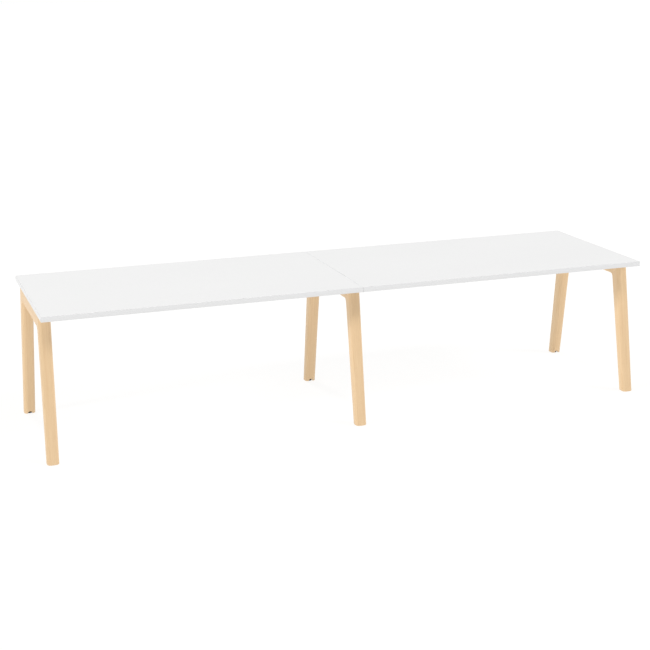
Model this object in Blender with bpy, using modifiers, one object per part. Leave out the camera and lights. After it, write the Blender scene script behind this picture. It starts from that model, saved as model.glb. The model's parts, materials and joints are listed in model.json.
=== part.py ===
"""Two-bay table: two white tops in line on three solid-wood A-frames, tied by steel beams.

Metres, +Z up. The origin is on the floor under the middle of the table, +X runs along the
table and -Y is its near side. Every foot is shown screwed fully in.
"""

import math

import bmesh
import bpy
from mathutils import Matrix, Vector

# Overall size
LENGTH = 3.200
WIDTH = 0.900
HEIGHT = 0.735
GAP = 0.0003  # between pieces that touch

# Tops
TOP_THICK = 0.025
BAND_THICK = 0.002
BAND_ARRIS = 0.0008
SEAM = 0.001  # space between the two tops
UNDERSIDE = HEIGHT - TOP_THICK

# A-frames
FRAME_X = 1.566  # middle plane of an end frame
BAR_WIDTH = 0.060  # leg and rail, along the table
FOOT_WIDTH = 0.058  # leg at the floor, along the table
LEG_Y_TOP = 0.289  # leg's centre line at the underside of the top
LEG_Y_FLOOR = 0.400
LEG_DEPTH_TOP = 0.078
LEG_DEPTH_FLOOR = 0.058
LEG_BOTTOM = 0.003  # height of the wood over the floor
RAIL_DEPTH = 0.079
RAIL_END = 0.215  # where rail and leg meet
EDGE_RADIUS = 0.020
CORNER_RADIUS = 0.018  # inside corner between rail and leg
EDGE_STEPS = 4
CORNER_STEPS = 6

# Loose tenons between rail and leg
TENON_THICK = 0.012
TENON_HEIGHT = 0.040
TENON_LENGTH = 0.060
TENON_Z = 0.679
TENON_STEPS = 3

# Levelling feet: swivel pad, ball-ended M8 stem, thumbwheel, threaded insert in the leg
STEM_R = 0.004
STEM_TOP = 0.045
BALL_R = 0.0045
BALL_Z = 0.0058
PAD_R = 0.0135
PAD_RIM = 0.0035
PAD_BOSS_R = 0.012
PAD_HEIGHT = 0.008
WHEEL_R = 0.0135
WHEEL_BOTTOM = 0.0088
WHEEL_TOP = 0.0152
POCKET_R = 0.0158
POCKET_TOP = 0.0158
ARCH_R = 0.0125  # arched opening into the pocket, in the leg's inner face
INSERT_R = 0.007
INSERT_TOP = 0.040
INSERT_FLANGE_R = 0.009
INSERT_FLANGE = 0.0015
BORE_TOP = 0.055

# Steel beams with an end plate welded to each end
BEAM_Y = 0.165
BEAM_WIDTH = 0.050
BEAM_HEIGHT = 0.025
BEAM_WALL = 0.002
PLATE_THICK = 0.004
PLATE_WIDTH = 0.090
PLATE_HEIGHT = 0.040

# Holes for the fasteners: 6 mm coach screws through the end plates, 5 mm wood screws
COACH_HOLE_R = 0.0033
COACH_HOLE_DEPTH = 0.018
COACH_Y = 0.036  # either side of the beam's middle
COACH_Z = 0.687
SCREW_HOLE_R = 0.0028
SCREW_TIP = 0.727
ACCESS_R = 0.006
RAIL_SCREW_Y = 0.090
RAIL_SCREW_X = 0.015  # from the seam, in the middle rail
COUNTERBORE_R = 0.007
COUNTERBORE_TOP = 0.685
SEAM_PLATE = (0.080, 0.040, 0.0025)
SEAM_PLATE_Y = 0.390
SEAM_SCREW = (0.028, 0.012)  # from the seam plate's middle

HOLE_SIDES = 8
ROD_SIDES = 12
PAD_SIDES = 20

SIDES = {"left": -1, "right": 1}
FRAMES = {"left": -FRAME_X, "middle": 0.0, "right": FRAME_X}
ROWS = {"front": -1, "back": 1}

for old in list(bpy.data.objects):
    bpy.data.objects.remove(old)

table = bpy.data.collections.new("two_bay_table")
cutters = bpy.data.collections.new("cutters")
for collection in (table, cutters):
    bpy.context.scene.collection.children.link(collection)
cutters.hide_render = True


def material(name, colour, roughness, metallic=0.0):
    made = bpy.data.materials.new(name)
    made.use_nodes = True
    shader = made.node_tree.nodes["Principled BSDF"]
    shader.inputs["Base Color"].default_value = (*colour, 1)
    shader.inputs["Roughness"].default_value = roughness
    shader.inputs["Metallic"].default_value = metallic
    made.diffuse_color = (*colour, 1)
    return made


LAMINATE = material("white_laminate", (0.88, 0.88, 0.88), 0.45)
EDGING = material("white_edging", (0.84, 0.84, 0.85), 0.40)
WOOD = material("light_wood", (0.78, 0.56, 0.33), 0.50)
TENON_WOOD = material("tenon_wood", (0.66, 0.47, 0.29), 0.60)
BLACK = material("black_plastic", (0.02, 0.02, 0.02), 0.45)
ZINC = material("zinc_plated_steel", (0.62, 0.63, 0.64), 0.35, 1.0)
POWDER_COAT = material("white_powder_coat", (0.80, 0.80, 0.80), 0.40)


# Building blocks


def node(name, bm, finish, location=(0, 0, 0)):
    """A visible piece made from a bmesh, which is freed."""
    mesh = bpy.data.meshes.new(name)
    bm.to_mesh(mesh)
    bm.free()
    mesh.materials.append(finish)
    mesh.shade_smooth()
    mesh.set_sharp_from_angle(angle=math.radians(32))
    obj = bpy.data.objects.new(name, mesh)
    obj.location = location
    table.objects.link(obj)
    return obj


def add_box(bm, low, high):
    """Adds a box between two corners and returns its vertices."""
    low, high = Vector(low), Vector(high)
    place = Matrix.Translation((low + high) / 2) @ Matrix.Diagonal((*(high - low), 1))
    return bmesh.ops.create_cube(bm, size=1, matrix=place)["verts"]


def box(low, high):
    bm = bmesh.new()
    add_box(bm, low, high)
    return bm


def add_rod(bm, start, end, radius, sides):
    """Adds a capped cylinder from start to end."""
    start, end = Vector(start), Vector(end)
    along = end - start
    turn = Vector((0, 0, 1)).rotation_difference(along).to_matrix().to_4x4()
    place = Matrix.Translation((start + end) / 2) @ turn
    bmesh.ops.create_cone(
        bm,
        cap_ends=True,
        segments=sides,
        radius1=radius,
        radius2=radius,
        depth=along.length,
        matrix=place,
    )


def round_edges(bm, wanted, radius, steps):
    """Rounds the edges whose two ends satisfy wanted(first, second)."""
    edges = [edge for edge in bm.edges if wanted(*(vert.co for vert in edge.verts))]
    bmesh.ops.bevel(
        bm, geom=edges, offset=radius, segments=steps, affect="EDGES", profile=0.5
    )


def mesh_of(obj):
    """The object's evaluated mesh in world space; the object is removed."""
    bpy.context.view_layer.update()
    graph = bpy.context.evaluated_depsgraph_get()
    mesh = bpy.data.meshes.new_from_object(obj.evaluated_get(graph))
    mesh.transform(obj.matrix_world)
    bpy.data.objects.remove(obj)
    return mesh


def turned(profile, steps, ring=False):
    """Mesh turned about Z from (radius, height) points that run down the outer side."""
    count = len(profile)
    edges = [(i, (i + 1) % count) for i in range(count if ring else count - 1)]
    mesh = bpy.data.meshes.new("profile")
    mesh.from_pydata([(radius, 0, height) for radius, height in profile], edges, [])
    obj = bpy.data.objects.new("profile", mesh)
    table.objects.link(obj)
    screw = obj.modifiers.new("Screw", "SCREW")
    screw.steps = screw.render_steps = steps
    screw.use_merge_vertices = True
    screw.merge_threshold = 0.00001
    return mesh_of(obj)


def cutter(name, bm):
    """A cutting tool made from a bmesh, which is freed."""
    mesh = bpy.data.meshes.new(name)
    bm.to_mesh(mesh)
    bm.free()
    obj = bpy.data.objects.new(name, mesh)
    obj.hide_render = True
    obj.display_type = "WIRE"
    cutters.objects.link(obj)
    return obj


def combine(obj, bm, name, operation):
    boolean = obj.modifiers.new(name, "BOOLEAN")
    boolean.operation = operation
    boolean.solver = "EXACT"
    boolean.object = cutter(f"{name}_{obj.name}", bm)


def cut(obj, bm, name):
    """Cuts the bmesh out of the object."""
    combine(obj, bm, name, "DIFFERENCE")


def join(obj, bm, name):
    """Makes the bmesh, which overlaps the object, one body with it."""
    combine(obj, bm, name, "UNION")


# Where the frame's faces are


def leg_outer(height):
    """Distance from the table's middle plane to a leg's outer face."""
    share = height / UNDERSIDE
    centre = LEG_Y_FLOOR + (LEG_Y_TOP - LEG_Y_FLOOR) * share
    return centre + leg_depth(height) / 2


def leg_depth(height):
    return LEG_DEPTH_FLOOR + (LEG_DEPTH_TOP - LEG_DEPTH_FLOOR) * height / UNDERSIDE


def leg_inner(height):
    return leg_outer(height) - leg_depth(height)


def rail_faces():
    """(frame name, x of the face, direction away from the rail) where beams are fixed."""
    half = BAR_WIDTH / 2
    return [
        ("left", -FRAME_X + half, 1),
        ("middle", -half, -1),
        ("middle", half, 1),
        ("right", FRAME_X - half, -1),
    ]


def beam_span(out):
    """Lowest and highest x of the space between the rails of one bay."""
    near, far = BAR_WIDTH / 2, FRAME_X - BAR_WIDTH / 2
    return sorted((out * near, out * far))


def top_screw_points(out, way):
    """Where one beam is screwed to its top."""
    low, high = beam_span(out)
    middle, reach = (low + high) / 2, (high - low) * 0.36
    return [(middle + step * reach, way * BEAM_Y) for step in (-1, 0, 1)]


def rail_screw_points(frame):
    """Where one rail is screwed to the tops."""
    x = FRAMES[frame]
    xs = (x,) if x else (-RAIL_SCREW_X, RAIL_SCREW_X)
    return [(at, way * RAIL_SCREW_Y) for at in xs for way in ROWS.values()]


def seam_screw_points(way):
    dx, dy = SEAM_SCREW
    y = way * SEAM_PLATE_Y
    return [(sx * dx, y + sy * dy) for sx in (-1, 1) for sy in (-1, 1)]


# Tops and their edging


def pilot_holes(points):
    """Blind holes in the underside for wood screws."""
    bm = bmesh.new()
    for x, y in points:
        start, end = (x, y, UNDERSIDE - 0.005), (x, y, SCREW_TIP)
        add_rod(bm, start, end, SCREW_HOLE_R, HOLE_SIDES)
    return bm


def top_panel(side, out):
    near = SEAM / 2 + BAND_THICK + GAP
    far = LENGTH / 2 - BAND_THICK - GAP
    x_low, x_high = sorted((out * near, out * far))
    y = WIDTH / 2 - BAND_THICK - GAP
    panel = node(
        f"top_panel_{side}", box((x_low, -y, UNDERSIDE), (x_high, y, HEIGHT)), LAMINATE
    )
    points = [p for way in ROWS.values() for p in top_screw_points(out, way)]
    points += [p for frame in FRAMES for p in rail_screw_points(frame)]
    points += [p for way in ROWS.values() for p in seam_screw_points(way)]
    inside = [p for p in points if x_low < p[0] < x_high]
    cut(panel, pilot_holes(inside), "pilot_holes")


def edge_band(name, low, high):
    """A strip of edging whose long edges are slightly broken."""
    bm = box(low, high)
    length = max(high[axis] - low[axis] for axis in range(3))
    round_edges(
        bm, lambda first, second: (first - second).length > 0.9 * length, BAND_ARRIS, 1
    )
    node(name, bm, EDGING)


def edging(side, out):
    seam_x, end_x = SEAM / 2, LENGTH / 2
    y = WIDTH / 2
    x_low, x_high = sorted((out * seam_x, out * end_x))
    for row, way in ROWS.items():
        y_low, y_high = sorted((way * y, way * (y - BAND_THICK)))
        low, high = (x_low, y_low, UNDERSIDE), (x_high, y_high, HEIGHT)
        edge_band(f"edge_band_{side}_{row}", low, high)
    short = y - BAND_THICK - GAP
    for place, x in (("seam", seam_x), ("end", end_x - BAND_THICK)):
        x_low, x_high = sorted((out * x, out * (x + BAND_THICK)))
        low, high = (x_low, -short, UNDERSIDE), (x_high, short, HEIGHT)
        edge_band(f"edge_band_{side}_{place}", low, high)


# A-frames


def rounded_corner(before, corner, after, radius, steps):
    """Points of the arc that touches both lines at a corner."""
    to_before = (before - corner).normalized()
    to_after = (after - corner).normalized()
    half = to_before.angle(to_after) / 2
    centre = corner + (to_before + to_after).normalized() * (radius / math.sin(half))
    start = corner + to_before * (radius / math.tan(half)) - centre
    end = corner + to_after * (radius / math.tan(half)) - centre
    sweep = -start.angle_signed(end)
    return [centre + Matrix.Rotation(sweep * i / steps, 2) @ start for i in range(steps + 1)]


def leg_outline():
    """Side view of a back leg as (y, z) points, from its outer foot corner round."""
    top, under = UNDERSIDE - GAP, UNDERSIDE - RAIL_DEPTH
    inner_foot = Vector((leg_inner(LEG_BOTTOM), LEG_BOTTOM))
    inside = Vector((leg_inner(under), under))
    joint = Vector((RAIL_END, under))
    arc = rounded_corner(joint, inside, inner_foot, CORNER_RADIUS, CORNER_STEPS)
    return [
        Vector((leg_outer(LEG_BOTTOM), LEG_BOTTOM)),
        Vector((leg_outer(top), top)),
        Vector((RAIL_END, top)),
        joint,
        *arc,
        inner_foot,
    ]


def extruded(outline, width):
    """Mesh of a (y, z) outline given a width along X."""
    curve = bpy.data.curves.new("outline", "CURVE")
    curve.dimensions = "2D"
    curve.fill_mode = "BOTH"
    curve.extrude = width / 2
    spline = curve.splines.new("POLY")
    spline.points.add(len(outline) - 1)
    for point, (y, z) in zip(spline.points, outline):
        point.co = (y, z, 0, 1)
    spline.use_cyclic_u = True
    obj = bpy.data.objects.new("outline", curve)
    table.objects.link(obj)
    # the outline's own x, y and z become the table's y, z and x
    obj.matrix_world = Matrix(((0, 0, 1, 0), (1, 0, 0, 0), (0, 1, 0, 0), (0, 0, 0, 1)))
    return mesh_of(obj)


def leg_solid():
    """A back leg with its head for the rail, long edges rounded, drawn at x = 0."""
    mesh = extruded(leg_outline(), BAR_WIDTH)
    bm = bmesh.new()
    bm.from_mesh(mesh)
    bpy.data.meshes.remove(mesh)
    bmesh.ops.remove_doubles(bm, verts=bm.verts, dist=0.00001)
    flat = [edge for edge in bm.edges if edge.calc_face_angle(1) < 0.001]
    bmesh.ops.dissolve_edges(bm, edges=flat, use_verts=False)
    bmesh.ops.recalc_face_normals(bm, faces=bm.faces)

    def long_edge(first, second):
        at_side = first.x * second.x > 0
        at_top = min(first.z, second.z) > UNDERSIDE - 0.001
        at_foot = max(first.z, second.z) < LEG_BOTTOM + 0.001
        at_joint = max(first.y, second.y) < RAIL_END + 0.001
        return at_side and not (at_top or at_foot or at_joint)

    round_edges(bm, long_edge, EDGE_RADIUS, EDGE_STEPS)
    for vert in bm.verts:
        narrowing = (BAR_WIDTH - FOOT_WIDTH) / BAR_WIDTH * (1 - vert.co.z / UNDERSIDE)
        vert.co.x *= 1 - narrowing
    return bm


def foot_pocket():
    """Pocket for the thumbwheel, seat and bore for the insert, clearance for the stem."""
    flange_top = POCKET_TOP + INSERT_FLANGE + GAP
    return turned(
        [
            (0, BORE_TOP),
            (STEM_R + 2 * GAP, BORE_TOP),
            (STEM_R + 2 * GAP, INSERT_TOP + GAP),
            (INSERT_R + GAP, INSERT_TOP + GAP),
            (INSERT_R + GAP, flange_top),
            (INSERT_FLANGE_R + GAP, flange_top),
            (INSERT_FLANGE_R + GAP, POCKET_TOP),
            (POCKET_R, POCKET_TOP),
            (POCKET_R, -0.01),
            (0, -0.01),
        ],
        ROD_SIDES,
    )


def foot_arch():
    """Arched opening in the leg's inner side, through which the thumbwheel is turned."""
    bm = bmesh.new()
    start = (0, LEG_Y_FLOOR - LEG_DEPTH_FLOOR, LEG_BOTTOM)
    add_rod(bm, start, (0, LEG_Y_FLOOR, LEG_BOTTOM), ARCH_R, 2 * ROD_SIDES)
    return bm


def tenon_shape(way, clearance):
    """Loose tenon across the joint of rail and leg, its long edges rounded."""
    reach = TENON_LENGTH / 2 + clearance
    half_x = TENON_THICK / 2 + clearance
    half_z = TENON_HEIGHT / 2 + clearance
    y = way * RAIL_END
    low, high = (-half_x, y - reach, TENON_Z - half_z), (half_x, y + reach, TENON_Z + half_z)
    bm = box(low, high)
    round_edges(bm, lambda first, second: first.x == second.x and first.z == second.z,
                half_x * 0.98, TENON_STEPS)
    return bm


def turned_round(bm):
    """Half a turn about Z, which carries a back piece to the front."""
    bmesh.ops.rotate(bm, verts=bm.verts, matrix=Matrix.Rotation(math.pi, 3, "Z"))
    return bm


def moved(bm, x):
    bmesh.ops.translate(bm, verts=bm.verts, vec=(x, 0, 0))
    return bm


def leg(frame, row):
    x = FRAMES[frame]
    pocket = bmesh.new()
    pocket.from_mesh(foot_pocket())
    bmesh.ops.translate(pocket, verts=pocket.verts, vec=(0, LEG_Y_FLOOR, 0))
    shapes = {
        "wood": leg_solid(),
        "foot_pocket": pocket,
        "foot_arch": foot_arch(),
        "mortise": tenon_shape(1, GAP),
    }
    for bm in shapes.values():
        if row == "front":
            turned_round(bm)
        moved(bm, x)
    piece = node(f"leg_{frame}_{row}", shapes.pop("wood"), WOOD)
    for name, bm in shapes.items():
        cut(piece, bm, name)


def rail(frame):
    x, half = FRAMES[frame], BAR_WIDTH / 2
    under, end = UNDERSIDE - RAIL_DEPTH, RAIL_END - GAP
    bm = box((x - half, -end, under), (x + half, end, UNDERSIDE - GAP))

    def low_edge(first, second):
        return first.x == second.x and max(first.z, second.z) < under + 0.001

    round_edges(bm, low_edge, EDGE_RADIUS, EDGE_STEPS)
    piece = node(f"cross_rail_{frame}", bm, WOOD)
    for row, way in ROWS.items():
        cut(piece, moved(tenon_shape(way, GAP), x), f"mortise_{row}")
    counterbores, screw_holes, coach_holes = bmesh.new(), bmesh.new(), bmesh.new()
    for at, y in rail_screw_points(frame):
        low, high = (at, y, under - 0.01), (at, y, COUNTERBORE_TOP)
        add_rod(counterbores, low, high, COUNTERBORE_R, ROD_SIDES)
        low, high = (at, y, COUNTERBORE_TOP - 0.01), (at, y, UNDERSIDE + 0.01)
        add_rod(screw_holes, low, high, SCREW_HOLE_R, HOLE_SIDES)
    for name, face, out in rail_faces():
        for y in coach_screw_ys():
            if name == frame:
                start = (face + out * 0.005, y, COACH_Z)
                end = (face - out * COACH_HOLE_DEPTH, y, COACH_Z)
                add_rod(coach_holes, start, end, COACH_HOLE_R, HOLE_SIDES)
    cut(piece, counterbores, "counterbores")
    cut(piece, screw_holes, "screw_holes")
    cut(piece, coach_holes, "coach_holes")


def coach_screw_ys():
    """The y of each coach screw in a rail's face."""
    return [way * (BEAM_Y + step * COACH_Y) for way in ROWS.values() for step in (-1, 1)]


def tenon(frame, row, way):
    bm = moved(tenon_shape(way, 0), FRAMES[frame])
    node(f"tenon_{frame}_{row}", bm, TENON_WOOD)


# Levelling feet


def ball_points(radius, start, end, steps):
    """Points round a ball from one angle to the other, measured from straight up."""
    angles = [start + (end - start) * i / steps for i in range(steps + 1)]
    return [(radius * math.sin(a), BALL_Z + radius * math.cos(a)) for a in angles]


def pad_mesh():
    """Swivel pad with a round socket that holds the stem's ball."""
    socket = BALL_R + GAP
    mouth = math.acos((PAD_HEIGHT - BALL_Z) / socket)
    inside = ball_points(socket, math.pi, mouth, 6)
    inside[0] = (0, inside[0][1])
    outside = [
        (PAD_BOSS_R, PAD_HEIGHT),
        (PAD_BOSS_R + 0.001, PAD_RIM + 0.001),
        (PAD_R, PAD_RIM),
        (PAD_R, 0.001),
        (PAD_R - 0.001, 0),
        (0, 0),
    ]
    return turned(inside + outside, PAD_SIDES)


def stem_mesh():
    """Threaded stem, drawn plain, with the ball at its foot."""
    neck = math.asin(STEM_R * 0.9 / BALL_R)
    ball = ball_points(BALL_R, neck, math.pi, 5)
    ball[-1] = (0, ball[-1][1])
    shank = [
        (0, STEM_TOP),
        (STEM_R - 0.001, STEM_TOP),
        (STEM_R, STEM_TOP - 0.001),
        (STEM_R, WHEEL_BOTTOM),
    ]
    return turned(shank + ball, ROD_SIDES)


def wheel_mesh():
    """Thumbwheel pressed on the stem."""
    hole, chamfer = STEM_R + GAP, 0.0008
    ring = [
        (WHEEL_R - chamfer, WHEEL_TOP),
        (WHEEL_R, WHEEL_TOP - chamfer),
        (WHEEL_R, WHEEL_BOTTOM + chamfer),
        (WHEEL_R - chamfer, WHEEL_BOTTOM),
        (hole, WHEEL_BOTTOM),
        (hole, WHEEL_TOP),
    ]
    return turned(ring, PAD_SIDES, ring=True)


def insert_mesh():
    """Threaded insert, drawn plain, with the flange that the thumbwheel stops against."""
    hole, low = STEM_R + GAP, POCKET_TOP - GAP
    ring = [
        (INSERT_R, INSERT_TOP),
        (INSERT_R, low + INSERT_FLANGE),
        (INSERT_FLANGE_R, low + INSERT_FLANGE),
        (INSERT_FLANGE_R, low),
        (hole, low),
        (hole, INSERT_TOP),
    ]
    return turned(ring, ROD_SIDES, ring=True)


def levelling_feet():
    pieces = {
        "foot_pad": (pad_mesh(), BLACK),
        "foot_stem": (stem_mesh(), ZINC),
        "foot_wheel": (wheel_mesh(), BLACK),
        "foot_insert": (insert_mesh(), ZINC),
    }
    for frame, x in FRAMES.items():
        for row, way in ROWS.items():
            centre = Vector((x, way * LEG_Y_FLOOR, 0))
            for name, (mesh, finish) in pieces.items():
                bm = bmesh.new()
                bm.from_mesh(mesh)
                node(f"{name}_{frame}_{row}", bm, finish, centre)


# Beams and seam plates


def beam(side, out, row, way):
    """Tube with a plate welded across each end, screwed to two rails and to a top."""
    low, high = beam_span(out)
    low, high = low + GAP, high - GAP
    y, half = way * BEAM_Y, BEAM_WIDTH / 2
    z_high = UNDERSIDE - GAP
    z_low, plate_low = z_high - BEAM_HEIGHT, z_high - PLATE_HEIGHT
    inset = PLATE_THICK / 2
    tube = box((low + inset, y - half, z_low), (high - inset, y + half, z_high))
    piece = node(f"beam_{side}_{row}", tube, POWDER_COAT)
    for end, x in (("low", low), ("high", high - PLATE_THICK)):
        plate_corner = (x + PLATE_THICK, y + PLATE_WIDTH / 2, z_high)
        plate = box((x, y - PLATE_WIDTH / 2, plate_low), plate_corner)
        join(piece, plate, f"plate_{end}")
    wall = BEAM_WALL
    bore_low = (low + PLATE_THICK, y - half + wall, z_low + wall)
    bore_high = (high - PLATE_THICK, y + half - wall, z_high - wall)
    cut(piece, box(bore_low, bore_high), "bore")
    cut(piece, beam_holes(low, high, way, top_screw_points(out, way)), "holes")


def beam_holes(low, high, way, screws):
    """Screw and access holes in the tube, and coach screw holes in the end plates."""
    bm = bmesh.new()
    z_high = UNDERSIDE - GAP
    z_low = z_high - BEAM_HEIGHT
    for x, y in screws:
        add_rod(bm, (x, y, z_low - 0.005), (x, y, z_low + 0.008), ACCESS_R, ROD_SIDES)
        start, end = (x, y, z_high - 0.008), (x, y, z_high + 0.005)
        add_rod(bm, start, end, SCREW_HOLE_R, HOLE_SIDES)
    for x in (low, high):
        for step in (-1, 1):
            y = way * BEAM_Y + step * COACH_Y
            start, end = (x - 0.01, y, COACH_Z), (x + 0.01, y, COACH_Z)
            add_rod(bm, start, end, COACH_HOLE_R, HOLE_SIDES)
    return bm


def seam_plate(row, way):
    length, width, thick = SEAM_PLATE
    y, top = way * SEAM_PLATE_Y, UNDERSIDE - GAP
    low = (-length / 2, y - width / 2, top - thick)
    piece = node(f"seam_plate_{row}", box(low, (length / 2, y + width / 2, top)), ZINC)
    holes = bmesh.new()
    for x, at in seam_screw_points(way):
        start, end = (x, at, top - thick - 0.005), (x, at, top + 0.005)
        add_rod(holes, start, end, SCREW_HOLE_R, HOLE_SIDES)
    cut(piece, holes, "holes")


for side_name, side_out in SIDES.items():
    top_panel(side_name, side_out)
    edging(side_name, side_out)
    for row_name, row_way in ROWS.items():
        beam(side_name, side_out, row_name, row_way)
for frame_name in FRAMES:
    rail(frame_name)
    for row_name, row_way in ROWS.items():
        leg(frame_name, row_name)
        tenon(frame_name, row_name, row_way)
levelling_feet()
for row_name, row_way in ROWS.items():
    seam_plate(row_name, row_way)
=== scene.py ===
"""Looks of the two-bay table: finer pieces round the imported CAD, materials, light and camera.

Metres, +Z up, in the CAD's frame. Every piece's mesh is in place in world coordinates, and its
object sits at the origin. A wood piece carries a "grain" attribute: x and y across the grain,
z along it.
"""

import json
import math

import bmesh
import bpy
import numpy as np
from mathutils import Matrix, Vector


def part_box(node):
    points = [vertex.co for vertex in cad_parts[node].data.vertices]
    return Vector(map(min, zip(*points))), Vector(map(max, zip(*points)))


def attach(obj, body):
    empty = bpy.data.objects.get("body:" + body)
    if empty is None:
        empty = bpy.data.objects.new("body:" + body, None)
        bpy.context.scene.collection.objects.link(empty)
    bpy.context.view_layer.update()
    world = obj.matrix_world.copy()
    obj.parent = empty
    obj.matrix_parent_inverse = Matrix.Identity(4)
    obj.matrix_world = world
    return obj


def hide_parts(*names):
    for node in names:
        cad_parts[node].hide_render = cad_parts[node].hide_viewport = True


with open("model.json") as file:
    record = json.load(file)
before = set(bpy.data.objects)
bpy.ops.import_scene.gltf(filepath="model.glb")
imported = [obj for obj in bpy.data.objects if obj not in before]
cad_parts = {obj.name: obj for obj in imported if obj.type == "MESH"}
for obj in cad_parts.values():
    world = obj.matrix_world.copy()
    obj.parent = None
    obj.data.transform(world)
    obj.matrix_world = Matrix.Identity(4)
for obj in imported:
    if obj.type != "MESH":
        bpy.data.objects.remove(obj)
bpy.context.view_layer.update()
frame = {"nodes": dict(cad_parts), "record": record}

FRAMES = ("left", "middle", "right")
ROWS = {"front": -1, "back": 1}
SIDES = {"left": -1, "right": 1}
GAP = 0.0003  # between CAD solids that touch in the real table
TIGHT_GAP = 0.00004  # between the edging and its panel as drawn here
SAME = 1e-6  # coordinates closer than this are equal
NEAR = 0.0001
OVERRUN = 0.01  # how far a cutter passes through a surface

# Sizes that the CAD boxes don't give
EDGING_EASE = 0.0010
SEAM_EASE = 0.0003
LEG_Y_TOP = 0.289  # where a leg's centre line meets the underside
LEG_DEPTH_TOP = 0.078
LEG_DEPTH_FLOOR = 0.058
LEG_FOOT_EASE = 0.0016
FOOT_WIDTH = 0.058
EDGE_RADIUS = 0.020  # long edges of legs and rails
CORNER_RADIUS = 0.018  # between a leg and its rail
RAIL_END_EASE = 0.0004
POCKET_R = 0.0158
ARCH_R = 0.0125
BORE_R = 0.0046
BORE_TOP = 0.055
INSERT_HOLE_R = 0.0073
FLANGE_SEAT = 0.0021
INSERT_BARREL_R = 0.0070
FLANGE_THICK = 0.0015
PAD_BOSS_R = 0.012
STEM_R = 0.004
THREAD_DEPTH = 0.00065
THREAD_PITCH = 0.00125
BALL_R = 0.0045
BALL_Z = 0.0058
NECK_R = 0.0034
BEAM_WIDTH = 0.050
BEAM_HEIGHT = 0.025
BEAM_WALL = 0.002
BEAM_CORNER_R = 0.003
PLATE_THICK = 0.004
PLATE_CORNER_R = 0.006
SEAM_PLATE_CORNER_R = 0.005
WELD_R = 0.0026
COACH_Y = 0.036  # coach screws, either side of a beam's middle
COACH_Z = 0.687
COACH_HOLE_R = 0.0033
COACH_HOLE_DEPTH = 0.018
SCREW_TIP = 0.727  # height that every screw into the tops reaches
SCREW_HOLE_R = 0.0028
RAIL_SCREW_Y = 0.090
RAIL_SCREW_X = 0.015  # either side of the seam
COUNTERBORE_R = 0.007
COUNTERBORE_TOP = 0.685
ACCESS_R = 0.006  # hole in a beam's lower wall for the screwdriver
SEAM_SCREW = (0.028, 0.012)  # from the seam, and from the plate's middle

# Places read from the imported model
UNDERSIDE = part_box("top_panel_left")[0].z
RAILS = {name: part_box(f"cross_rail_{name}") for name in FRAMES}
FRAME_X = {name: (low.x + high.x) / 2 for name, (low, high) in RAILS.items()}
BAR_WIDTH = RAILS["middle"][1].x - RAILS["middle"][0].x
RAIL_UNDER = RAILS["middle"][0].z
RAIL_END = RAILS["middle"][1].y + GAP
LEG_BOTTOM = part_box("leg_middle_back")[0].z
FOOT_Y = sum(v.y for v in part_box("foot_pad_middle_back")) / 2
BEAM_Y = sum(v.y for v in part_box("beam_left_back")) / 2
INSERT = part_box("foot_insert_middle_back")
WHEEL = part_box("foot_wheel_middle_back")
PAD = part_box("foot_pad_middle_back")
INSERT_LOW, INSERT_TOP, FLANGE_R = INSERT[0].z, INSERT[1].z, INSERT[1].x
WHEEL_LOW, WHEEL_TOP, WHEEL_R = WHEEL[0].z, WHEEL[1].z, (WHEEL[1].x - WHEEL[0].x) / 2
PAD_TOP, PAD_R = PAD[1].z, (PAD[1].x - PAD[0].x) / 2
STEM_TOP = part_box("foot_stem_middle_back")[1].z

rng = np.random.default_rng(7)


# Materials


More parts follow.
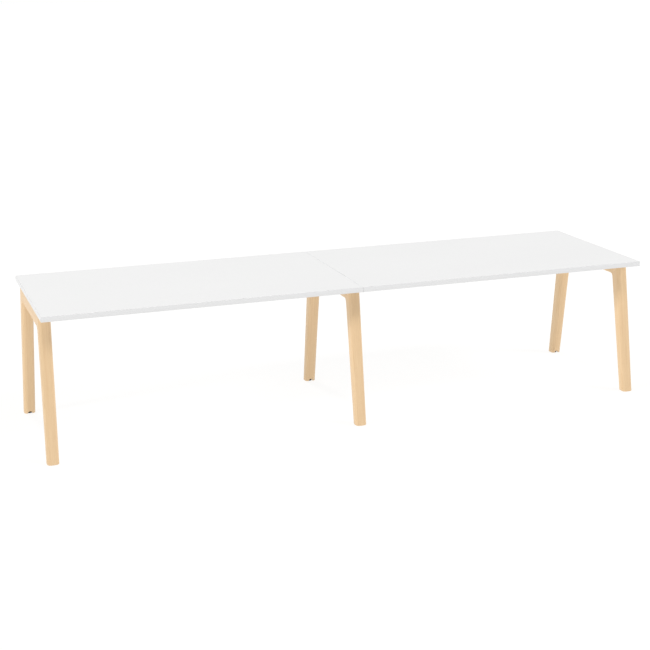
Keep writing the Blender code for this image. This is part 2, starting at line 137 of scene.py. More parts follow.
class Nodes:
    """Short calls for building one material's node tree."""

    def __init__(self, name):
        self.material = bpy.data.materials.new(name)
        self.material.use_nodes = True
        self.tree = self.material.node_tree
        self.shader = self.tree.nodes["Principled BSDF"]

    def add(self, kind, inputs=(), **settings):
        made = self.tree.nodes.new(kind)
        for key, value in settings.items():
            setattr(made, key, value)
        for key, value in dict(inputs).items():
            self.feed(made.inputs[key], value)
        return made

    def feed(self, socket, value):
        if isinstance(value, bpy.types.NodeSocket):
            self.tree.links.new(value, socket)
        else:
            socket.default_value = value

    def set(self, **values):
        for key, value in values.items():
            name = key.replace("_", " ").title().replace("Ior", "IOR")
            self.feed(self.shader.inputs[name], value)

    def position(self):
        return self.add("ShaderNodeTexCoord").outputs["Object"]

    def scaled(self, vector, scale):
        return self.add("ShaderNodeMapping", {"Vector": vector, "Scale": scale}).outputs[0]

    def noise(self, vector, scale, detail=2.0, roughness=0.5):
        made = self.add(
            "ShaderNodeTexNoise",
            {"Vector": vector, "Scale": scale, "Detail": detail, "Roughness": roughness},
        )
        return made.outputs["Fac"]

    def math(self, operation, first, second=0.0, third=0.0):
        made = self.add("ShaderNodeMath", operation=operation)
        for socket, value in zip(made.inputs, (first, second, third)):
            self.feed(socket, value)
        return made.outputs[0]

    def between(self, value, low, high, to_low=0.0, to_high=1.0):
        """The value with low to high stretched to to_low to to_high, and clamped."""
        made = self.add(
            "ShaderNodeMapRange",
            {
                "Value": value,
                "From Min": low,
                "From Max": high,
                "To Min": to_low,
                "To Max": to_high,
            },
        )
        return made.outputs[0]

    def ramp(self, value, *stops):
        made = self.add("ShaderNodeValToRGB", {"Fac": value})
        elements = made.color_ramp.elements
        while len(elements) < len(stops):
            elements.new(0.5)
        for element, (place, colour) in zip(elements, stops):
            element.position = place
            element.color = (*colour, 1)
        return made.outputs["Color"]

    def mix(self, share, first, second, blend="MIX"):
        made = self.add("ShaderNodeMix", data_type="RGBA", blend_type=blend)
        self.feed(made.inputs["Factor"], share)
        for name, value in (("A", first), ("B", second)):
            socket = next(s for s in made.inputs if s.name == name and s.type == "RGBA")
            self.feed(socket, value if isinstance(value, bpy.types.NodeSocket) else (*value, 1))
        return next(s for s in made.outputs if s.type == "RGBA")

    def bump(self, height, strength, distance):
        made = self.add(
            "ShaderNodeBump", {"Height": height, "Strength": strength, "Distance": distance}
        )
        self.feed(self.shader.inputs["Normal"], made.outputs[0])


def laminate():
    """Matt white melamine: a faint pearl texture, and a sheen that hands have polished."""
    n = Nodes("matt_white_laminate")
    at = n.position()
    cloud = n.noise(at, 1.7, 3)
    colour = n.mix(cloud, (0.853, 0.853, 0.853), (0.873, 0.873, 0.870))
    speck = n.between(n.noise(at, 420, 2), 0.35, 0.65, 0.985, 1.0)
    grey = n.ramp(speck, (0, (0, 0, 0)), (1, (1, 1, 1)))
    wear = n.noise(n.scaled(at, (0.7, 1.3, 1)), 3.1, 4, 0.6)
    fine = n.noise(at, 900, 2)
    gloss = n.math("ADD", n.between(wear, 0.3, 0.7, 0.52, 0.59), n.math("MULTIPLY", fine, 0.04))
    n.set(base_color=n.mix(1.0, colour, grey, "MULTIPLY"), roughness=gloss)
    n.set(ior=1.45, specular_ior_level=0.25)
    n.bump(fine, 0.12, 0.0002)
    return n.material


def edging(name="white_plastic_edging", pale=0.765):
    """Matt white plastic edging, a little cooler than the laminate, with its milling lines."""
    n = Nodes(name)
    at = n.position()
    cloud = n.noise(at, 5, 3)
    cool = (pale - 0.010, pale - 0.008, pale - 0.003)
    warm = (pale + 0.010, pale + 0.011, pale + 0.013)
    n.set(base_color=n.mix(cloud, cool, warm))
    lines = n.noise(n.scaled(at, (12, 12, 1800)), 1, 2)
    fine = n.noise(at, 1400, 2)
    n.set(roughness=n.between(fine, 0.3, 0.7, 0.36, 0.46), ior=1.5)
    n.bump(n.math("ADD", n.math("MULTIPLY", lines, 0.6), fine), 0.10, 0.0001)
    return n.material


def wood(name, pale, dark, attribute=True):
    """Light hardwood: growth rings cut lengthwise, fine open pores and slow colour drift.

    The grain runs along z of the piece's own "grain" attribute, or of the world without it.
    """
    n = Nodes(name)
    if attribute:
        at = n.add("ShaderNodeAttribute", attribute_name="grain").outputs["Vector"]
    else:
        at = n.position()
    # growth rings round a far-off heart, wavering slowly along the grain
    waver = n.noise(n.scaled(at, (9, 9, 1.3)), 1, 3, 0.55)
    parts = n.add("ShaderNodeSeparateXYZ", {"Vector": at})
    radius = n.math(
        "SQRT",
        n.math(
            "ADD",
            n.math("POWER", n.math("ADD", parts.outputs["X"], 0.11), 2),
            n.math("POWER", n.math("ADD", parts.outputs["Y"], 0.06), 2),
        ),
    )
    drift = n.math("MULTIPLY", waver, 0.030)
    rings = n.math("MULTIPLY", n.math("ADD", radius, drift), 290)
    place = n.math("FRACT", rings)
    late = n.ramp(
        place,
        (0.0, (0.25, 0.25, 0.25)),
        (0.10, (0.0, 0.0, 0.0)),
        (0.55, (0.18, 0.18, 0.18)),
        (0.90, (1, 1, 1)),
        (1.0, (0.25, 0.25, 0.25)),
    )
    streak = n.noise(n.scaled(at, (120, 120, 1.6)), 1, 3, 0.6)
    fibre = n.noise(n.scaled(at, (900, 900, 14)), 1, 2, 0.6)
    pores = n.between(n.noise(n.scaled(at, (1500, 1500, 45)), 1, 1), 0.60, 0.72)
    tone = n.math("MULTIPLY", late, 0.27)
    tone = n.math("MULTIPLY_ADD", n.between(streak, 0.25, 0.75), 0.33, tone)
    tone = n.math("MULTIPLY_ADD", n.between(fibre, 0.25, 0.75), 0.20, tone)
    tone = n.math("MULTIPLY_ADD", pores, 0.22, tone)
    colour = n.mix(tone, pale, dark)
    patch = n.noise(n.scaled(at, (14, 14, 2.2)), 1, 2)
    warm = n.mix(patch, (1.0, 0.985, 0.96), (0.975, 0.965, 0.93))
    n.set(base_color=n.mix(1.0, colour, warm, "MULTIPLY"))
    n.set(roughness=n.between(n.math("ADD", fibre, pores), 0.2, 1.4, 0.40, 0.60), ior=1.48)
    height = n.math("SUBTRACT", n.math("MULTIPLY", fibre, 0.5), n.math("MULTIPLY", pores, 0.8))
    n.bump(n.math("MULTIPLY_ADD", late, 0.12, height), 0.14, 0.0002)
    return n.material


def black_nylon():
    """Matt black moulded nylon with a fine grain and a little dust."""
    n = Nodes("black_moulded_nylon")
    at = n.position()
    grain = n.noise(at, 2200, 2)
    dust = n.between(n.noise(at, 160, 4, 0.7), 0.55, 0.75, 0.0, 0.35)
    n.set(base_color=n.mix(dust, (0.007, 0.007, 0.007), (0.020, 0.019, 0.018)))
    n.set(roughness=n.between(grain, 0.3, 0.7, 0.55, 0.72), ior=1.40)
    n.bump(grain, 0.15, 0.0001)
    return n.material


def zinc():
    """Zinc plate: soft brightness with a faint blue and yellow bloom and fine scuffs."""
    n = Nodes("bright_zinc_plate")
    at = n.position()
    bloom = n.noise(at, 55, 3)
    tint = (0.66, 0.67, 0.69)
    warm = tuple(value * share for value, share in zip(tint, (1.04, 1.0, 0.90)))
    cool = tuple(value * share for value, share in zip(tint, (0.94, 0.98, 1.05)))
    n.set(base_color=n.mix(n.between(bloom, 0.35, 0.65), warm, cool), metallic=1.0)
    scuff = n.noise(n.scaled(at, (300, 2600, 2600)), 1, 2)
    n.set(roughness=n.between(n.math("ADD", scuff, bloom), 0.6, 1.4, 0.26, 0.44))
    n.bump(scuff, 0.10, 0.0001)
    return n.material


def powder_coat():
    """White powder coat: the fine orange-peel skin of stoved paint."""
    n = Nodes("white_powder_coat_paint")
    at = n.position()
    peel = n.noise(at, 620, 2, 0.4)
    cloud = n.noise(at, 6, 2)
    n.set(base_color=n.mix(cloud, (0.74, 0.74, 0.745), (0.77, 0.77, 0.77)))
    n.set(roughness=n.between(peel, 0.3, 0.7, 0.34, 0.46), ior=1.5)
    n.bump(peel, 0.22, 0.0003)
    return n.material


# each slot of the record and its finish
FINISHES = {
    "white_laminate": laminate(),
    "white_edging": edging(),
    "light_wood": wood("light_hardwood", (0.875, 0.658, 0.418), (0.640, 0.414, 0.216)),
    "tenon_wood": wood("beech_tenon", (0.74, 0.52, 0.33), (0.50, 0.31, 0.17), attribute=False),
    "black_plastic": black_nylon(),
    "zinc_plated_steel": zinc(),
    "white_powder_coat": powder_coat(),
}
# the two bands at the seam are a painted lit copy of the same edging, nearly as pale as the
# laminate, so the seam stays a faint line
PAINTED_PALE_SEAM_EDGING = edging("painted_pale_seam_edging", 0.870)


# Building blocks


def piece(name, bm, slot, body, *nodes, angle=30):
    """A visible piece made from a bmesh, which is freed; it stands for the CAD nodes named."""
    mesh = bpy.data.meshes.new(name)
    bm.to_mesh(mesh)
    bm.free()
    return piece_of(name, mesh, slot, body, *nodes, angle=angle)


def piece_of(name, mesh, slot, body, *nodes, angle=30):
    """The same for a finished mesh. Edges sharper than the angle stay sharp."""
    mesh.materials.clear()
    mesh.materials.append(FINISHES[slot])
    mesh.shade_smooth()
    mesh.set_sharp_from_angle(angle=math.radians(angle))
    obj = bpy.data.objects.new(name, mesh)
    bpy.context.scene.collection.objects.link(obj)
    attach(obj, body)
    if nodes:
        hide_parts(*nodes)
    return obj


def add_box(bm, low, high):
    """Adds a box between two corners."""
    low, high = Vector(low), Vector(high)
    place = Matrix.Translation((low + high) / 2) @ Matrix.Diagonal((*(high - low), 1))
    bmesh.ops.create_cube(bm, size=1, matrix=place)


def add_rod(bm, start, end, radius, sides=32):
    """Adds a closed cylinder between two points, for cutting holes."""
    start, end = Vector(start), Vector(end)
    along = end - start
    turn = Vector((0, 0, 1)).rotation_difference(along).to_matrix().to_4x4()
    place = Matrix.Translation((start + end) / 2) @ turn
    bmesh.ops.create_cone(
        bm,
        cap_ends=True,
        segments=sides,
        radius1=radius,
        radius2=radius,
        depth=along.length,
        matrix=place,
    )


def bevel(bm, wanted, radius, steps):
    """Rounds the edges whose two ends satisfy wanted(first, second)."""
    edges = [edge for edge in bm.edges if wanted(*(vert.co for vert in edge.verts))]
    bmesh.ops.bevel(bm, geom=edges, offset=radius, segments=steps, affect="EDGES", profile=0.5)


def mesh_from(bm, name="cutter"):
    """The bmesh as a mesh; the bmesh is freed."""
    mesh = bpy.data.meshes.new(name)
    bm.to_mesh(mesh)
    bm.free()
    return mesh


def carve(mesh, steps):
    """The mesh after each (operation, bmesh) of steps; the bmeshes are freed."""
    made = [bpy.data.objects.new("carved", mesh)]
    for operation, bm in steps:
        tool = bpy.data.objects.new("tool", mesh_from(bm))
        made.append(tool)
        boolean = made[0].modifiers.new(operation, "BOOLEAN")
        boolean.operation, boolean.solver, boolean.object = operation, "EXACT", tool
    for obj in made:
        bpy.context.scene.collection.objects.link(obj)
    bpy.context.view_layer.update()
    graph = bpy.context.evaluated_depsgraph_get()
    result = bpy.data.meshes.new_from_object(made[0].evaluated_get(graph))
    for obj in made:
        bpy.data.objects.remove(obj)
    return result


def circle(bm, radius, height, steps):
    """A level ring of vertices round Z; a single one where the radius is zero."""
    if radius < 1e-7:
        return [bm.verts.new((0, 0, height))]
    angles = [2 * math.pi * i / steps for i in range(steps)]
    return [bm.verts.new((radius * math.cos(a), radius * math.sin(a), height)) for a in angles]


def band(bm, upper, lower, steps):
    """Faces between two rings, either of which may be a single vertex."""
    for i in range(steps):
        j = (i + 1) % steps
        corners = (
            upper[i % len(upper)],
            lower[i % len(lower)],
            lower[j % len(lower)],
            upper[j % len(upper)],
        )
        bm.faces.new(list(dict.fromkeys(corners)))


def turned(bm, profile, steps, centre=(0, 0, 0), ring=False):
    """Adds a solid turned about Z from (radius, height) points; a ring's profile is closed."""
    rings = [circle(bm, radius, height, steps) for radius, height in profile]
    lower_rings = [*rings[1:], rings[0]] if ring else rings[1:]
    for upper, lower in zip(rings, lower_rings):
        band(bm, upper, lower, steps)
    bmesh.ops.translate(bm, verts=[vert for one in rings for vert in one], vec=centre)


def grain(obj, along, across, start):
    """Writes the wood's own axes: z along the grain, x and y across it, from a start."""
    mesh = obj.data
    along, across = Vector(along).normalized(), Vector(across).normalized()
    depth = along.cross(across)
    points = np.empty(len(mesh.vertices) * 3, np.float32)
    mesh.vertices.foreach_get("co", points)
    points = points.reshape(-1, 3)
    axes = np.array([across, depth, along], np.float32)
    values = points @ axes.T
    values -= values.mean(axis=0)
    values += np.array(start, np.float32)
    attribute = mesh.attributes.new("grain", "FLOAT_VECTOR", "POINT")
    attribute.data.foreach_set("vector", values.astype(np.float32).ravel())


def seed():
    """A different cut of wood: where in the tree this piece was sawn from."""
    return (*(rng.uniform(-0.03, 0.05, 2)), rng.uniform(0, 40))


# Tops keep their CAD solids; the edging is drawn tight to them with softly rounded edges


def edge_band(side, out, place):
    """One edge's band: the front and back ones run past the end and the seam ones."""
    node = f"edge_band_{side}_{place}"
    panel_low, panel_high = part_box(f"top_panel_{side}")
    low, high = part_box(node)
    axis = 1 if place in ROWS else 0
    way = ROWS.get(place) or (out if place == "end" else -out)
    outer = high[axis] if way > 0 else low[axis]
    if way > 0:
        low[axis] = panel_high[axis] + TIGHT_GAP
    else:
        high[axis] = panel_low[axis] - TIGHT_GAP
    if axis == 0:
        low.y, high.y = low.y - GAP + TIGHT_GAP, high.y + GAP - TIGHT_GAP
    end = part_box(f"edge_band_{side}_end")[1 if out > 0 else 0].x

    def on_face(point):
        return abs(point[axis] - outer) < SAME

    def eased(first, second):
        level = abs(first.z - second.z) < SAME
        if on_face(first) and on_face(second):
            return level or axis == 1
        at_end = max(abs(first.x - end), abs(second.x - end)) < SAME
        return axis == 1 and level and at_end

    bm = bmesh.new()
    add_box(bm, low, high)
    bevel(bm, eased, SEAM_EASE if place == "seam" else EDGING_EASE, 4)
    made = piece(f"edging_{side}_{place}", bm, "white_edging", "table", node)
    # the bands at the seam take the paler copy of the edging, a painted lighter tone
    if place == "seam":
        made.data.materials[0] = PAINTED_PALE_SEAM_EDGING


for side, out in SIDES.items():
    for place in ("front", "back", "end", "seam"):
        edge_band(side, out, place)


# A-frames


def leg_axis(height):
    """How far from the table's middle a leg's centre line is at a height."""
    return FOOT_Y + (LEG_Y_TOP - FOOT_Y) * height / UNDERSIDE


def leg_depth(height):
    return LEG_DEPTH_FLOOR + (LEG_DEPTH_TOP - LEG_DEPTH_FLOOR) * height / UNDERSIDE


def arc_between(before, corner, after, radius, steps):
    """Points of the arc that touches both lines at a corner."""
    to_before, to_after = (before - corner).normalized(), (after - corner).normalized()
    half = to_before.angle(to_after) / 2
    centre = corner + (to_before + to_after).normalized() * (radius / math.sin(half))
    start = corner + to_before * (radius / math.tan(half)) - centre
    end = corner + to_after * (radius / math.tan(half)) - centre
    sweep = -start.angle_signed(end)
    return [centre + Matrix.Rotation(sweep * i / steps, 2) @ start for i in range(steps + 1)]


def leg_body():
    """A back leg at x = 0: shoulder, rounded inner corner and long rounded edges."""
    top = UNDERSIDE - GAP
    outer = [leg_axis(z) + leg_depth(z) / 2 for z in (LEG_BOTTOM, top)]
    inner = [leg_axis(z) - leg_depth(z) / 2 for z in (LEG_BOTTOM, RAIL_UNDER)]
    foot = Vector((inner[0], LEG_BOTTOM))
    inside = Vector((inner[1], RAIL_UNDER))
    joint = Vector((RAIL_END, RAIL_UNDER))
    arc = arc_between(joint, inside, foot, CORNER_RADIUS, 18)
    outline = [
        Vector((outer[0], LEG_BOTTOM)),
        Vector((outer[1], top)),
        Vector((RAIL_END, top)),
        joint,
        *arc,
        foot,
    ]
    bm = bmesh.new()
    half = BAR_WIDTH / 2
    sides = [[bm.verts.new((x, y, z)) for y, z in outline] for x in (-half, half)]
    bm.faces.new(sides[0])
    bm.faces.new(reversed(sides[1]))
    for i in range(len(outline)):
        j = (i + 1) % len(outline)
        bm.faces.new((sides[0][i], sides[0][j], sides[1][j], sides[1][i]))
    bmesh.ops.recalc_face_normals(bm, faces=bm.faces)

    def at_foot(first, second):
        return max(first.z, second.z) < LEG_BOTTOM + NEAR

    def long_edge(first, second):
        at_side = first.x * second.x > 0
        at_top = min(first.z, second.z) > top - NEAR
        at_joint = max(first.y, second.y) < RAIL_END + NEAR
        return at_side and not (at_top or at_foot(first, second) or at_joint)

    bevel(bm, long_edge, EDGE_RADIUS, 12)
    bevel(bm, at_foot, LEG_FOOT_EASE, 3)
    # the leg narrows a little towards the floor
    for vert in bm.verts:
        vert.co.x *= 1 - (1 - FOOT_WIDTH / BAR_WIDTH) * (1 - vert.co.z / UNDERSIDE)
    return bm


def tenon_box(row_way):
    """Slot for a back or front tenon of the middle frame, a hair larger than the tenon."""
    low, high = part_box("tenon_middle_back" if row_way > 0 else "tenon_middle_front")
    bm = bmesh.new()
    add_box(bm, low - Vector((GAP, GAP, GAP)), high + Vector((GAP, GAP, GAP)))
    almost_half = (high.x - low.x) * 0.49
    bevel(bm, lambda a, b: abs(a.x - b.x) + abs(a.z - b.z) < SAME, almost_half, 6)
    return bm


def foot_pocket():
    """Pocket for the thumbwheel, seat for the insert and clearance for the stem."""
    bm = bmesh.new()
    seat = INSERT_LOW + FLANGE_SEAT
    profile = [
        (0, BORE_TOP),
        (BORE_R, BORE_TOP),
        (BORE_R, INSERT_TOP + GAP),
        (INSERT_HOLE_R, INSERT_TOP + GAP),
        (INSERT_HOLE_R, seat),
        (FLANGE_R + GAP, seat),
        (FLANGE_R + GAP, INSERT_LOW + GAP),
        (POCKET_R, INSERT_LOW + GAP),
        (POCKET_R, -OVERRUN),
        (0, -OVERRUN),
    ]
    turned(bm, profile, 48, (0, FOOT_Y, 0))
    bmesh.ops.recalc_face_normals(bm, faces=bm.faces)
    return bm


def foot_arch():
    """Arch from the leg's inner face to the middle of the pocket."""
    bm = bmesh.new()
    start = (0, FOOT_Y - LEG_DEPTH_FLOOR, LEG_BOTTOM)
    add_rod(bm, start, (0, FOOT_Y, LEG_BOTTOM), ARCH_R, 48)
    return bm


def legs():
    """Six legs from one carved mesh; the front ones are turned half round."""
    finished = carve(
        mesh_from(leg_body(), "leg"),
        [
            ("DIFFERENCE", foot_pocket()),
            ("DIFFERENCE", foot_arch()),
            ("DIFFERENCE", tenon_box(1)),
        ],
    )
    for name in FRAMES:
        for row, way in ROWS.items():
            mesh = finished.copy()
            turn = Matrix.Rotation(math.pi if way < 0 else 0, 4, "Z")
            mesh.transform(Matrix.Translation((FRAME_X[name], 0, 0)) @ turn)
            node = f"leg_{name}_{row}"
            obj = piece_of(f"wood_{node}", mesh, "light_wood", "table", node)
            along = (0, way * (LEG_Y_TOP - FOOT_Y), UNDERSIDE)
            grain(obj, along, (1, 0, 0), seed())


def rail_section():
    """Half-rounded (x, z) section of a rail, from its top left corner down and round."""
    half, top = BAR_WIDTH / 2, UNDERSIDE - GAP
    points = [Vector((-half, top))]
    for way in (-1, 1):
        centre = Vector((way * (half - EDGE_RADIUS), RAIL_UNDER + EDGE_RADIUS))
        for i in range(13):
            angle = math.pi / 2 * i / 12
            across, down = (math.cos(angle), math.sin(angle))
            if way > 0:
                across, down = down, across
            points.append(centre + Vector((way * across, -down)) * EDGE_RADIUS)
    points.append(Vector((half, top)))
    return points


def rail_body():
    """A rail at x = 0 with its shoulders broken by a hair so that the joint reads as a line."""
    bm = bmesh.new()
    section = rail_section()
    end, ease = RAIL_END - GAP / 2, RAIL_END_EASE
    middle = Vector((0, (UNDERSIDE + RAIL_UNDER) / 2))
    rings = []
    for y, shrink in ((-end, ease), (-end + ease, 0), (end - ease, 0), (end, ease)):
        ring = []
        for point in section:
            inward = (middle - point).normalized() * shrink
            at_top = point.y > UNDERSIDE - 0.001
            z = point.y + (0 if at_top else inward.y)
            ring.append(bm.verts.new((point.x + inward.x, y, z)))
        rings.append(ring)
    for first, second in zip(rings, rings[1:]):
        for i in range(len(section)):
            j = (i + 1) % len(section)
            bm.faces.new((first[i], first[j], second[j], second[i]))
    bm.faces.new(rings[0])
    bm.faces.new(reversed(rings[-1]))
    bmesh.ops.recalc_face_normals(bm, faces=bm.faces)
    return bm


def rail_screws(name):
    """(x, y) of the screws from one rail into the tops."""
    x = FRAME_X[name]
    xs = (x,) if abs(x) > 0.01 else (-RAIL_SCREW_X, RAIL_SCREW_X)
    return [(at, way * RAIL_SCREW_Y) for at in xs for way in ROWS.values()]


def rails():
    """Three rails, drilled for the screws up into the tops and those of the beams' plates."""
    for name in FRAMES:
        x = FRAME_X[name]
        bores, holes, coach = bmesh.new(), bmesh.new(), bmesh.new()
        for at, y in rail_screws(name):
            seat = (at - x, y, COUNTERBORE_TOP)
            add_rod(bores, (at - x, y, RAIL_UNDER - OVERRUN), seat, COUNTERBORE_R)
            low, high = (at - x, y, COUNTERBORE_TOP - OVERRUN), (at - x, y, UNDERSIDE + OVERRUN)
            add_rod(holes, low, high, SCREW_HOLE_R, 16)
        for out in (-1, 1):
            # an end rail carries beams on its inner face only
            if x * out > 0.01:
                continue
            face = out * BAR_WIDTH / 2
            for way in ROWS.values():
                for step in (-1, 1):
                    y = way * BEAM_Y + step * COACH_Y
                    start = (face + out * 0.005, y, COACH_Z)
                    end = (face - out * COACH_HOLE_DEPTH, y, COACH_Z)
                    add_rod(coach, start, end, COACH_HOLE_R, 16)
        cutters = (bores, holes, coach, tenon_box(1), tenon_box(-1))
        steps = [("DIFFERENCE", cutter) for cutter in cutters]
        mesh = carve(mesh_from(rail_body(), "rail"), steps)
        mesh.transform(Matrix.Translation((x, 0, 0)))
        node = f"cross_rail_{name}"
        obj = piece_of(f"wood_{node}", mesh, "light_wood", "table", node)
        grain(obj, (0, 1, 0), (1, 0, 0), seed())


legs()
rails()


# Levelling feet


def ball(radius, start, end, steps):
    """(radius, height) points round the stem's ball, between two angles from straight up."""
    angles = [start + (end - start) * i / steps for i in range(steps + 1)]
    return [(radius * math.sin(a), BALL_Z + radius * math.cos(a)) for a in angles]


def pad():
    """Swivel pad: socket, boss, rim and two grip grooves underneath."""
    socket = BALL_R + GAP
    mouth = math.acos((PAD_TOP - 0.0004 - BALL_Z) / socket)
    inside = ball(socket, math.pi, mouth, 14)
    inside[0] = (0, inside[0][1])
    profile = [
        *inside,
        (inside[-1][0] + 0.0004, PAD_TOP),
        (PAD_BOSS_R - 0.0006, PAD_TOP),
        (PAD_BOSS_R - 0.0002, PAD_TOP - 0.0002),
        (PAD_BOSS_R, PAD_TOP - 0.0007),
        (PAD_BOSS_R + 0.0003, 0.0054),
        (PAD_BOSS_R + 0.0006, 0.0044),
        (PAD_BOSS_R + 0.0010, 0.0036),
        (PAD_R - 0.0001, 0.0032),
        (PAD_R, 0.0027),
        (PAD_R, 0.0009),
        (PAD_R - 0.0003, 0.0003),
        (PAD_R - 0.0010, 0),
        (0.0112, 0),
        (0.0108, 0.0004),
        (0.0102, 0.0004),
        (0.0098, 0),
        (0.0078, 0),
        (0.0074, 0.0004),
        (0.0068, 0.0004),
        (0.0064, 0),
        (0, 0),
    ]
    bm = bmesh.new()
    turned(bm, profile, 48)
    return bm


def thread(bm, low, high, steps):
    """Adds an M8 thread as one helical band and its flat tip; returns its first row and turn."""
    root = STEM_R - THREAD_DEPTH
    # (share of the pitch, radius) of the crest, the flank and the root
    shape = ((0.0, STEM_R), (0.12, STEM_R), (0.45, root), (0.57, root))
    count = int(((high - low) / THREAD_PITCH - 1) * steps)
    rows = []
    for i in range(count + 1):
        angle = 2 * math.pi * i / steps
        base = low + THREAD_PITCH * i / steps
        fade = min(1.0, i / steps, (count - i) / (0.75 * steps))
        row = []
        for offset, radius in shape:
            radius = root + (radius - root) * fade
            height = min(high, max(low, base + offset * THREAD_PITCH))
            at = (radius * math.cos(angle), radius * math.sin(angle), height)
            row.append(bm.verts.new(at))
        rows.append(row)
    for i in range(count):
        for a, b in zip(range(3), range(1, 4)):
            bm.faces.new((rows[i][a], rows[i + 1][a], rows[i + 1][b], rows[i][b]))
        if i + 1 + steps <= count:
            next_turn = (rows[i + 1 + steps][0], rows[i + steps][0])
            bm.faces.new((rows[i][3], rows[i + 1][3], *next_turn))
    cap = bm.verts.new((0, 0, high))
    rim = [row[3] for row in rows[count - steps :]]
    for a, b in zip(rim, rim[1:]):
        bm.faces.new((a, b, cap))
    bm.faces.new((rows[count][3], rows[count][2], rows[count][1], rows[count][0], cap))
    bm.faces.new((rows[count][0], rows[count - steps][3], cap))
    return rows[0], [row[0] for row in rows[: steps + 1]]


def stem():
    """M8 stem with its thread, shank, neck and ball."""
    bm = bmesh.new()
    steps = 24
    low = WHEEL_TOP + 0.0004
    first_row, first_turn = thread(bm, low, STEM_TOP, steps)
    shank_r = STEM_R - 0.0001
    profile = (
        (STEM_R - THREAD_DEPTH, low - 0.0002),
        (shank_r, low - 0.0004),
        (shank_r, WHEEL_LOW),
        (NECK_R, WHEEL_LOW - 0.0004),
    )
    rings = [circle(bm, radius, height, steps) for radius, height in profile]
    # the shank's top ring meets the first turn, and a last face closes the step that it leaves
    for i in range(steps):
        j = (i + 1) % steps
        bm.faces.new((first_turn[i], rings[0][i], rings[0][j], first_turn[i + 1]))
    bm.faces.new((*reversed(first_row), first_turn[steps]))
    bm.faces.new((first_turn[0], first_turn[steps], rings[0][0]))
    points = ball(BALL_R, math.asin(NECK_R / BALL_R), math.pi, 12)
    points[-1] = (0, points[-1][1])
    for radius, height in points:
        rings.append(circle(bm, radius, height, steps))
    for upper, lower in zip(rings, rings[1:]):
        band(bm, upper, lower, steps)
    bmesh.ops.recalc_face_normals(bm, faces=bm.faces)
    return bm


def wheel():
    """Thumbwheel with a scalloped grip round its rim."""
    bm = bmesh.new()
    steps, flutes, depth, bore = 192, 24, 0.0007, STEM_R + 0.00002
    chamfer = 0.0008
    profile = [
        (bore, WHEEL_TOP, 0),
        (WHEEL_R - 0.0030, WHEEL_TOP, 0),
        (WHEEL_R - 0.0026, WHEEL_TOP - 0.0003, 0),
        (WHEEL_R - chamfer - 0.0008, WHEEL_TOP - 0.0003, 0),
        (WHEEL_R - chamfer, WHEEL_TOP - 0.0004, 0.2),
        (WHEEL_R, WHEEL_TOP - 0.0004 - chamfer, 1),
        (WHEEL_R, WHEEL_LOW + chamfer, 1),
        (WHEEL_R - chamfer, WHEEL_LOW, 0.2),
        (bore, WHEEL_LOW, 0),
    ]
    rings = []
    for radius, height, share in profile:
        ring = []
        for i in range(steps):
            angle = 2 * math.pi * i / steps
            dip = depth * share * abs(math.sin(angle * flutes / 2)) ** 0.6
            at = radius - (depth * share - dip)
            ring.append(bm.verts.new((at * math.cos(angle), at * math.sin(angle), height)))
        rings.append(ring)
    for upper, lower in zip(rings, [*rings[1:], rings[0]]):
        band(bm, upper, lower, steps)
    bmesh.ops.recalc_face_normals(bm, faces=bm.faces)
    return bm


def insert():
    """Insert in the leg: flange, barrel tapered at its top, and bore chamfered below."""
    bm = bmesh.new()
    bore_r = STEM_R + 0.00035
    flange_top = INSERT_LOW + FLANGE_THICK
    profile = [
        (bore_r, INSERT_TOP),
        (0.0060, INSERT_TOP),
        (0.0067, INSERT_TOP - 0.0008),
        (INSERT_BARREL_R, INSERT_TOP - 0.0030),
        (INSERT_BARREL_R, flange_top),
        (FLANGE_R - 0.0003, flange_top),
        (FLANGE_R, INSERT_LOW + 0.0012),
        (FLANGE_R, INSERT_LOW + 0.0004),
        (FLANGE_R - 0.0004, INSERT_LOW),
        (STEM_R + 0.0012, INSERT_LOW),
        (bore_r, INSERT_LOW + 0.0009),
    ]
    turned(bm, profile, 48, ring=True)
    bmesh.ops.recalc_face_normals(bm, faces=bm.faces)
    return bm


def levelling_feet():
    """Six feet, each of four pieces: mesh, slot, body (or the table) and sharp angle."""
    parts = {
        "foot_pad": (pad(), "black_plastic", "pad", 40),
        "foot_stem": (stem(), "zinc_plated_steel", "stem", 40),
        "foot_wheel": (wheel(), "black_plastic", "stem", 40),
        "foot_insert": (insert(), "zinc_plated_steel", None, 30),
    }
    meshes = {kind: mesh_from(spec[0], kind) for kind, spec in parts.items()}
    for name in FRAMES:
        for row, way in ROWS.items():
            centre = Matrix.Translation((FRAME_X[name], way * FOOT_Y, 0))
            for kind, (_, slot, body, angle) in parts.items():
                mesh = meshes[kind].copy()
                mesh.transform(centre)
                node = f"{kind}_{name}_{row}"
                label = node.replace("foot_", "levelling_")
                rides = f"{body}_{name}_{row}" if body else "table"
                piece_of(label, mesh, slot, rides, node, angle=angle)


levelling_feet()


# Beams, their welds and the fasteners


def rounded_rectangle(width, height, radius, steps):
    """(across, up) points of a rounded rectangle round its middle, anticlockwise."""
    points = []
    for quarter, (sx, sy) in enumerate(((1, 1), (-1, 1), (-1, -1), (1, -1))):
        centre = Vector((sx * (width / 2 - radius), sy * (height / 2 - radius)))
        for i in range(steps + 1):
            angle = math.pi / 2 * (quarter + i / steps)
            points.append(centre + Vector((math.cos(angle), math.sin(angle))) * radius)
    return points


def prism(bm, section, low_x, high_x, y, z):
    """Adds a solid with the (y, z) section between two x."""
    ends = [[bm.verts.new((x, y + p.x, z + p.y)) for p in section] for x in (low_x, high_x)]
    faces = [bm.faces.new(ends[0]), bm.faces.new(list(reversed(ends[1])))]
    for i in range(len(section)):
        j = (i + 1) % len(section)
        faces.append(bm.faces.new((ends[0][i], ends[1][i], ends[1][j], ends[0][j])))
    bmesh.ops.recalc_face_normals(bm, faces=faces)


